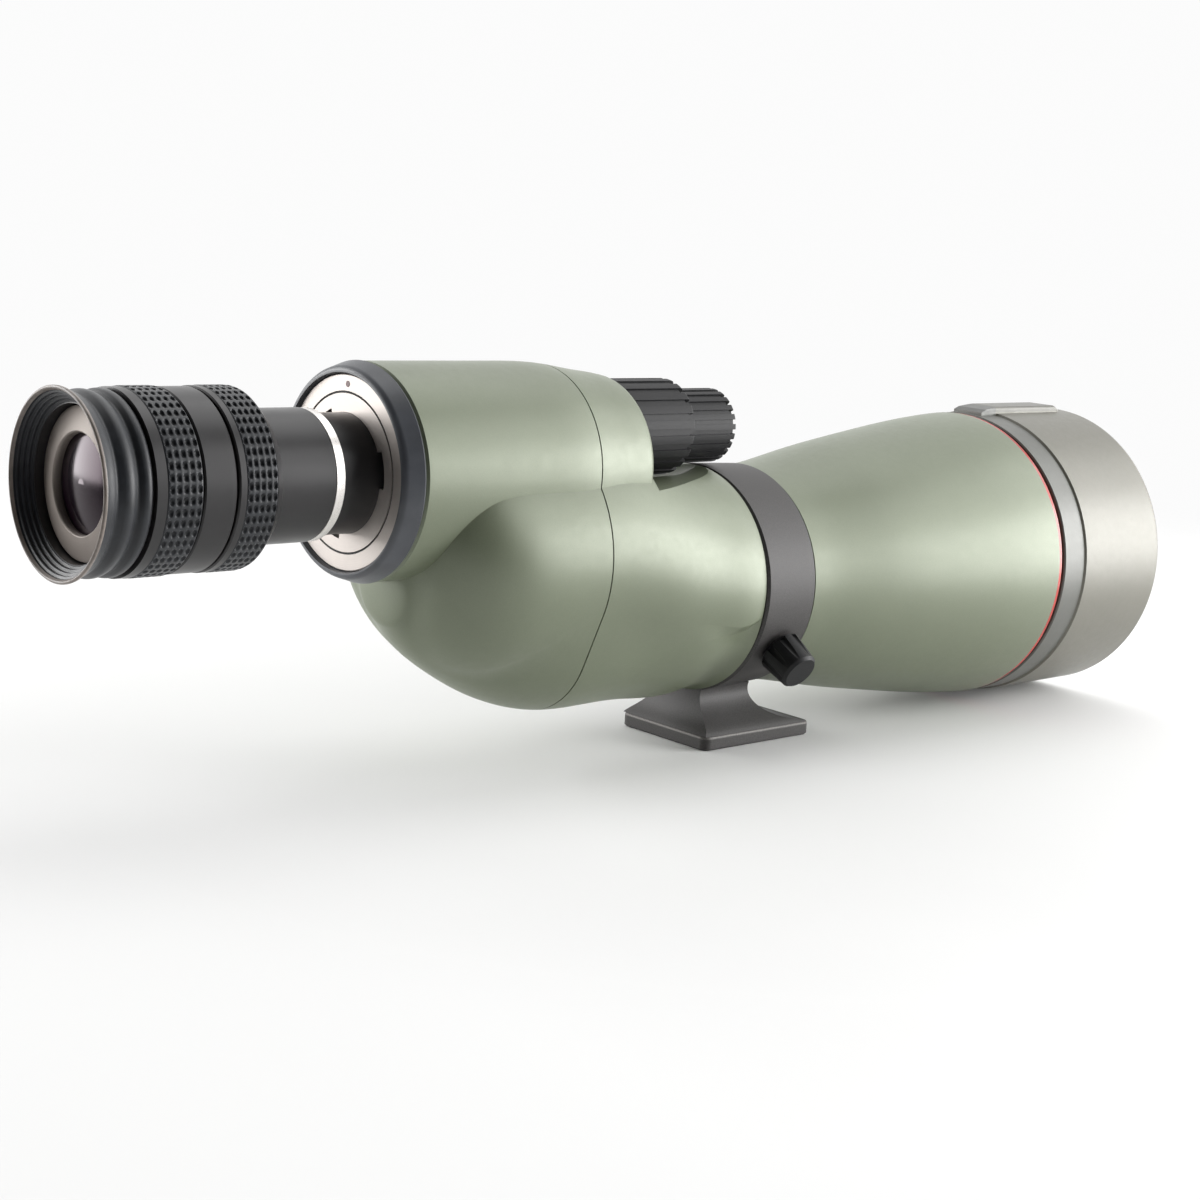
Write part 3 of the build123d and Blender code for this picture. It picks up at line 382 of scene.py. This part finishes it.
def dress_cad_nodes(materials):
    """Gives every CAD node the material of its slot, or its own variant of it."""
    for part in frame["record"]["subparts"]:
        finish = NODE_FINISHES.get(part["node"], part["material_slot"])
        node = frame["nodes"][part["node"]]
        node.data.materials.clear()
        node.data.materials.append(materials[finish])


# --- turned pieces of the eyepiece and the mount ------------------------------------------------
SHARP_EDGE = math.radians(40)
RING_STEPS = 160


def turned_piece(name, steps, outline_at, finishes_used, finish_of=None):
    """Closed ring about the eyepiece axis. outline_at(angle) gives its outline there, in
    millimetres as (x, radius), with the same number of points at every angle."""
    outlines = [outline_at(math.tau * step / steps) for step in range(steps)]
    count = len(outlines[0])
    points = []
    for step, outline in enumerate(outlines):
        angle = math.tau * step / steps
        for x, radius in outline:
            points.append((
                x * MM,
                radius * MM * math.cos(angle),
                EYE_Z + radius * MM * math.sin(angle),
            ))
    faces = []
    for step in range(steps):
        here, after = step * count, (step + 1) % steps * count
        for index in range(count):
            other = (index + 1) % count
            faces.append((here + index, here + other, after + other, after + index))
    mesh = bpy.data.meshes.new(name)
    mesh.from_pydata(points, [], faces)
    for material in finishes_used:
        mesh.materials.append(material)
    if finish_of:
        for face in mesh.polygons:
            face.material_index = finish_of(face.index % count)
    mesh.update()
    mesh.shade_smooth()
    mesh.set_sharp_from_angle(angle=SHARP_EDGE)
    piece = bpy.data.objects.new(name, mesh)
    bpy.context.scene.collection.objects.link(piece)
    return piece


def smooth_step(low, high, value):
    """0 below low, 1 above high, and smooth between them."""
    share = min(1.0, max(0.0, (value - low) / (high - low)))
    return share * share * (3 - 2 * share)


# Knurled grips: rows of pits round the ring, columns along it, mesh steps for each pit, and sizes
# in millimetres.
GRIP_ROWS = 52
GRIP_COLUMNS = 5
GRIP_DETAIL = 8
GRIP_PIT_DEPTH = 0.62
GRIP_THICKNESS = 0.88
GRIP_CROWN = 0.10
GRIP_EDGE = 0.35
GRIP_EDGE_DROP = 0.7
# A pit's half width as a share of its cell, along and round the ring, and how square it is.
PIT_ALONG = 0.66
PIT_ROUND = 0.62
PIT_SQUARENESS = 2.6
PIT_FLOOR_END = 0.35
PIT_WALL_END = 1.15


def knurled_grip(node, body, material):
    """Rubber grip with rows of rounded pits, so that raised pads stand between them."""
    low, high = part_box(node)
    x_low, x_high = low.x / MM, high.x / MM
    outer = radius_of(node) / MM
    base = outer - GRIP_THICKNESS
    samples = GRIP_COLUMNS * GRIP_DETAIL
    length = x_high - x_low

    def outline_at(angle):
        row = (angle / math.tau * GRIP_ROWS) % 1.0 * 2 - 1
        outline = []
        for index in range(samples + 1):
            along = index / samples
            column = (along * GRIP_COLUMNS) % 1.0 * 2 - 1
            if index in (0, samples):
                column = 1.0
            reach = abs(column / PIT_ALONG) ** PIT_SQUARENESS + abs(row / PIT_ROUND) ** PIT_SQUARENESS
            pit = 1 - smooth_step(PIT_FLOOR_END, PIT_WALL_END, reach)
            crown = GRIP_CROWN * max(row * row, column * column)
            edge = min(along, 1 - along) * length
            rounding = GRIP_EDGE * (1 - smooth_step(0.0, GRIP_EDGE, edge)) * GRIP_EDGE_DROP
            radius = outer - pit * GRIP_PIT_DEPTH - GRIP_CROWN + crown - rounding
            outline.append((x_low + along * length, radius))
        outline.append((x_high, base))
        outline.append((x_low, base))
        return outline

    grip = turned_piece(node + "_knurled", GRIP_ROWS * GRIP_DETAIL, outline_at, [material])
    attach(grip, body)
    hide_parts(node)


def arc_points(first, middle_point, last, count):
    """Points on a smooth curve through three points, without the last one."""
    points = []
    for index in range(count):
        share = index / count
        weights = (2 * (share - 0.5) * (share - 1), -4 * share * (share - 1), 2 * share * (share - 0.5))
        points.append(tuple(
            weights[0] * first[axis] + weights[1] * middle_point[axis] + weights[2] * last[axis]
            for axis in (0, 1)
        ))
    return points


# The eyecup's outside from front to rear, as curves: three points, each as millimetres behind the
# front edge and below the rim, and a count of mesh points.
EYECUP_OUTSIDE = (
    ((0.3, 1.15), (1.6, 0.86), (3.0, 1.3), 8),
    ((3.2, 1.75), (3.7, 2.05), (4.3, 1.95), 4),
    ((4.6, 1.75), (6.6, 0.98), (8.6, 1.45), 8),
    ((9.2, 1.85), (9.9, 1.95), (10.6, 1.55), 5),
    ((11.0, 1.3), (12.4, 0.75), (13.3, 0.22), 6),
)
FOLD_WAVES = 4.0
FOLD_HEIGHT = 0.24
FOLD_SAMPLES = 48


def soft_eyecup(materials):
    """Eyecup: flared lip with a bead, two soft ridges outside and folds inside."""
    low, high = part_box("eyecup_rubber")
    rear, front = low.x / MM, high.x / MM
    rim = radius_of("eyecup_rubber") / MM
    outline = [(front, rim - 2.4), (front, rim - 1.45)]
    for *curve, count in EYECUP_OUTSIDE:
        outline += arc_points(*((front - behind, rim - below) for behind, below in curve), count)
    # From here to lip_end the bead takes the pale lip colour, a painted highlight along the rim.
    lip_start = len(outline)
    bead_top = (rear + 0.45, rim - 0.03)
    bead_rear = (rear + 0.08, rim - 0.78)
    outline += arc_points((front - 13.5, rim - 0.12), bead_top, (rear + 0.14, rim - 0.22), 5)
    outline += arc_points((rear + 0.05, rim - 0.42), bead_rear, (rear + 0.5, rim - 1.05), 5)
    lip_end = len(outline)
    fold_start = (rear + 0.9, rim - 1.30)
    fold_end = (rear + 5.6, rim - 4.45)
    run = math.hypot(fold_end[0] - fold_start[0], fold_end[1] - fold_start[1])
    across = ((fold_end[1] - fold_start[1]) / run, -(fold_end[0] - fold_start[0]) / run)
    for index in range(FOLD_SAMPLES + 1):
        share = index / FOLD_SAMPLES
        fold = FOLD_HEIGHT * math.sin(math.tau * FOLD_WAVES * share) * smooth_step(0.0, 0.1, share)
        outline.append((
            fold_start[0] + share * (fold_end[0] - fold_start[0]) - across[0] * fold,
            fold_start[1] + share * (fold_end[1] - fold_start[1]) - across[1] * fold,
        ))
    outline += [(rear + 8.2, rim - 4.65), (rear + 5.35, rim - 3.76), (rear + 5.3, rim - 2.9)]
    cup = turned_piece(
        "eyecup_folded", RING_STEPS, lambda angle: outline,
        [materials["grip_rubber"], materials["lip_rubber_painted_highlight"]],
        lambda index: 1 if lip_start <= index < lip_end else 0,
    )
    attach(cup, "eyecup")
    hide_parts("eyecup_rubber")


def cone_ring(material):
    """Satin cone ring in front of the eye lens."""
    low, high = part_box("eye_lens_retainer")
    rear, front = low.x / MM, high.x / MM
    bore = 13.5
    seat = 15.7
    wide = radius_of("eye_lens_retainer") / MM + 1.75
    outline = [
        (rear + 0.75, bore + 0.25),
        (rear + 0.62, bore + 0.45),
        (rear + 0.70, bore + 0.75),
        (rear + 1.55, wide - 0.5),
        (rear + 1.75, wide - 0.1),
        (rear + 2.1, wide),
        (front, wide),
        (front, seat),
        (front - 1.0, seat),
        (front - 1.0, bore + 0.5),
        (front - 1.6, bore),
        (rear + 1.05, bore),
    ]
    ring = turned_piece("eye_lens_cone", RING_STEPS, lambda angle: outline, [material])
    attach(ring, "eyepiece")
    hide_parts("eye_lens_retainer")


def mount_groove(material):
    """Dark filling of the fine groove between the two bright rings of the mount."""
    ring_edge = radius_of("bayonet_ring") / MM
    flange_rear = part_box("mount_flange")[0].x / MM
    inner, outer = ring_edge + 0.17, ring_edge + 0.63
    rear, front = flange_rear + 0.25, flange_rear + 1.15
    outline = [(rear, inner), (rear, outer), (front, outer), (front, inner)]
    ring = turned_piece("mount_groove", RING_STEPS, lambda angle: outline, [material])
    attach(ring, "scope_body")


# --- studio -------------------------------------------------------------------------------------
# Each softbox: name, azimuth and elevation from the object in degrees, distance, width, height
# and power.
SOFTBOXES = (
    ("key", -38, 4, 0.95, 0.60, 0.60, 7.5),
    ("wide", -38, 22, 0.95, 1.00, 0.90, 7.5),
    ("rim", 128, 14, 1.20, 0.80, 0.80, 13.0),
    ("top", 15, 70, 1.10, 0.80, 0.80, 2.5),
)
# The surroundings go from dark to white as a direction turns towards WHITE_SIDE, between the two
# cosines of WHITE_EDGE. The camera itself sees BACKDROP.
WHITE_SIDE = (0.68, 0.73, 0.10)
WHITE_EDGE = (-0.1, 0.5)
WORLD_DARK = 0.05
WORLD_WHITE = 1.25
BACKDROP = 0.97
FLOOR_RADIUS = 1.5
FLOOR_GAP = 0.0002
FLOOR_FADE = (0.25, 0.75)


def add_softbox(name, azimuth, elevation, distance, width, height, power):
    """Soft light that looks at the middle of the object."""
    aim = (cad_low + cad_high) / 2
    turn, rise = math.radians(azimuth), math.radians(elevation)
    way = Vector((math.cos(rise) * math.cos(turn), math.cos(rise) * math.sin(turn), math.sin(rise)))
    data = bpy.data.lights.new(name, "AREA")
    data.shape = "RECTANGLE"
    data.size = width
    data.size_y = height
    data.energy = power
    light = bpy.data.objects.new(name, data)
    light.location = aim + way * distance
    light.rotation_mode = "QUATERNION"
    light.rotation_quaternion = (-way).to_track_quat("-Z", "Y")
    light.visible_camera = False
    bpy.context.scene.collection.objects.link(light)


def add_floor():
    """Round sheet of white paper that fades into the backdrop."""
    bpy.ops.mesh.primitive_circle_add(vertices=96, radius=FLOOR_RADIUS, fill_type="NGON")
    floor = bpy.context.object
    floor.name = "floor"
    floor.location = (0, 0, cad_low.z - FLOOR_GAP)
    paper = Graph("floor_paper", Roughness=0.9, Specular_IOR_Level=0.1)
    reach = paper.node("ShaderNodeVectorMath", operation="LENGTH")
    paper.link(paper.place(), reach.inputs[0])
    fade = paper.spread(reach.outputs["Value"], 1.0, 0.0, *FLOOR_FADE)
    paper.link(fade, paper.shader.inputs["Alpha"])
    tone = paper.blend(paper.noise(3, 3), (0.86, 0.86, 0.855), (0.88, 0.88, 0.875))
    floor.data.materials.append(paper.finish(tone))


def add_world():
    """Surroundings: white beyond the object, dim behind the camera's side."""
    world = bpy.data.worlds.new("studio")
    bpy.context.scene.world = world
    world.use_nodes = True
    nodes, links = world.node_tree.nodes, world.node_tree.links
    place = nodes.new("ShaderNodeTexCoord")
    nodes["Background"].inputs["Color"].default_value = (1, 1, 1, 1)
    facing = nodes.new("ShaderNodeVectorMath")
    facing.operation = "DOT_PRODUCT"
    facing.inputs[1].default_value = WHITE_SIDE
    links.new(place.outputs["Generated"], facing.inputs[0])
    strength = nodes.new("ShaderNodeMapRange")
    strength.inputs["From Min"].default_value = WHITE_EDGE[0]
    strength.inputs["From Max"].default_value = WHITE_EDGE[1]
    strength.inputs["To Min"].default_value = WORLD_DARK
    strength.inputs["To Max"].default_value = WORLD_WHITE
    links.new(facing.outputs["Value"], strength.inputs["Value"])
    seen = nodes.new("ShaderNodeLightPath")
    chosen = nodes.new("ShaderNodeMix")
    links.new(seen.outputs["Is Camera Ray"], chosen.inputs["Factor"])
    links.new(strength.outputs["Result"], chosen.inputs["A"])
    chosen.inputs["B"].default_value = BACKDROP
    links.new(chosen.outputs["Result"], nodes["Background"].inputs["Strength"])


def add_studio():
    """Paper floor, white surroundings and the soft lights."""
    add_floor()
    for softbox in SOFTBOXES:
        add_softbox(*softbox)
    add_world()
    bpy.context.scene.view_settings.view_transform = "Standard"


add_camera()
add_studio()
finishes = make_materials()
dress_cad_nodes(finishes)
knurled_grip("zoom_grip", "zoom", finishes["grip_rubber"])
knurled_grip("eyecup_grip", "eyecup", finishes["grip_rubber"])
soft_eyecup(finishes)
cone_ring(finishes["cone_metal"])
mount_groove(finishes["groove_black"])
